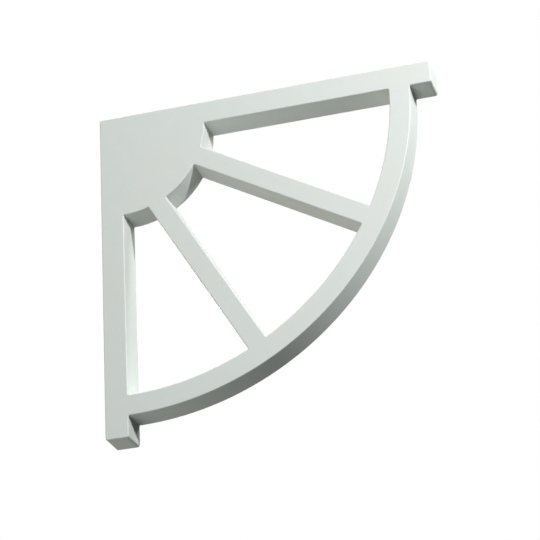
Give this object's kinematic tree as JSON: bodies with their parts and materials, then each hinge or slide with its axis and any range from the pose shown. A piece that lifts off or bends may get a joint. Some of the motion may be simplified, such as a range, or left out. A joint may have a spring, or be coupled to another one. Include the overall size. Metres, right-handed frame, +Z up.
{
  "type": "decorative wall bracket",
  "caption": "Flat quarter-wheel wall bracket: two square legs, a quarter-round rim, a solid quarter-disc hub in the corner and spokes between hub and rim.",
  "frame": {"origin": "middle of the flat face of the wall leg that lies against the wall", "axes": "+X out from the wall along the top leg, +Y across the thickness, +Z up along the wall leg"},
  "size_m": [0.6, 0.053, 0.6],
  "materials": {
    "white_polymer": "satin white moulded polymer, smooth, with softly rounded edges"
  },
  "bodies": {
    "root": {"bracket": "white_polymer"}
  },
  "joints": []
}
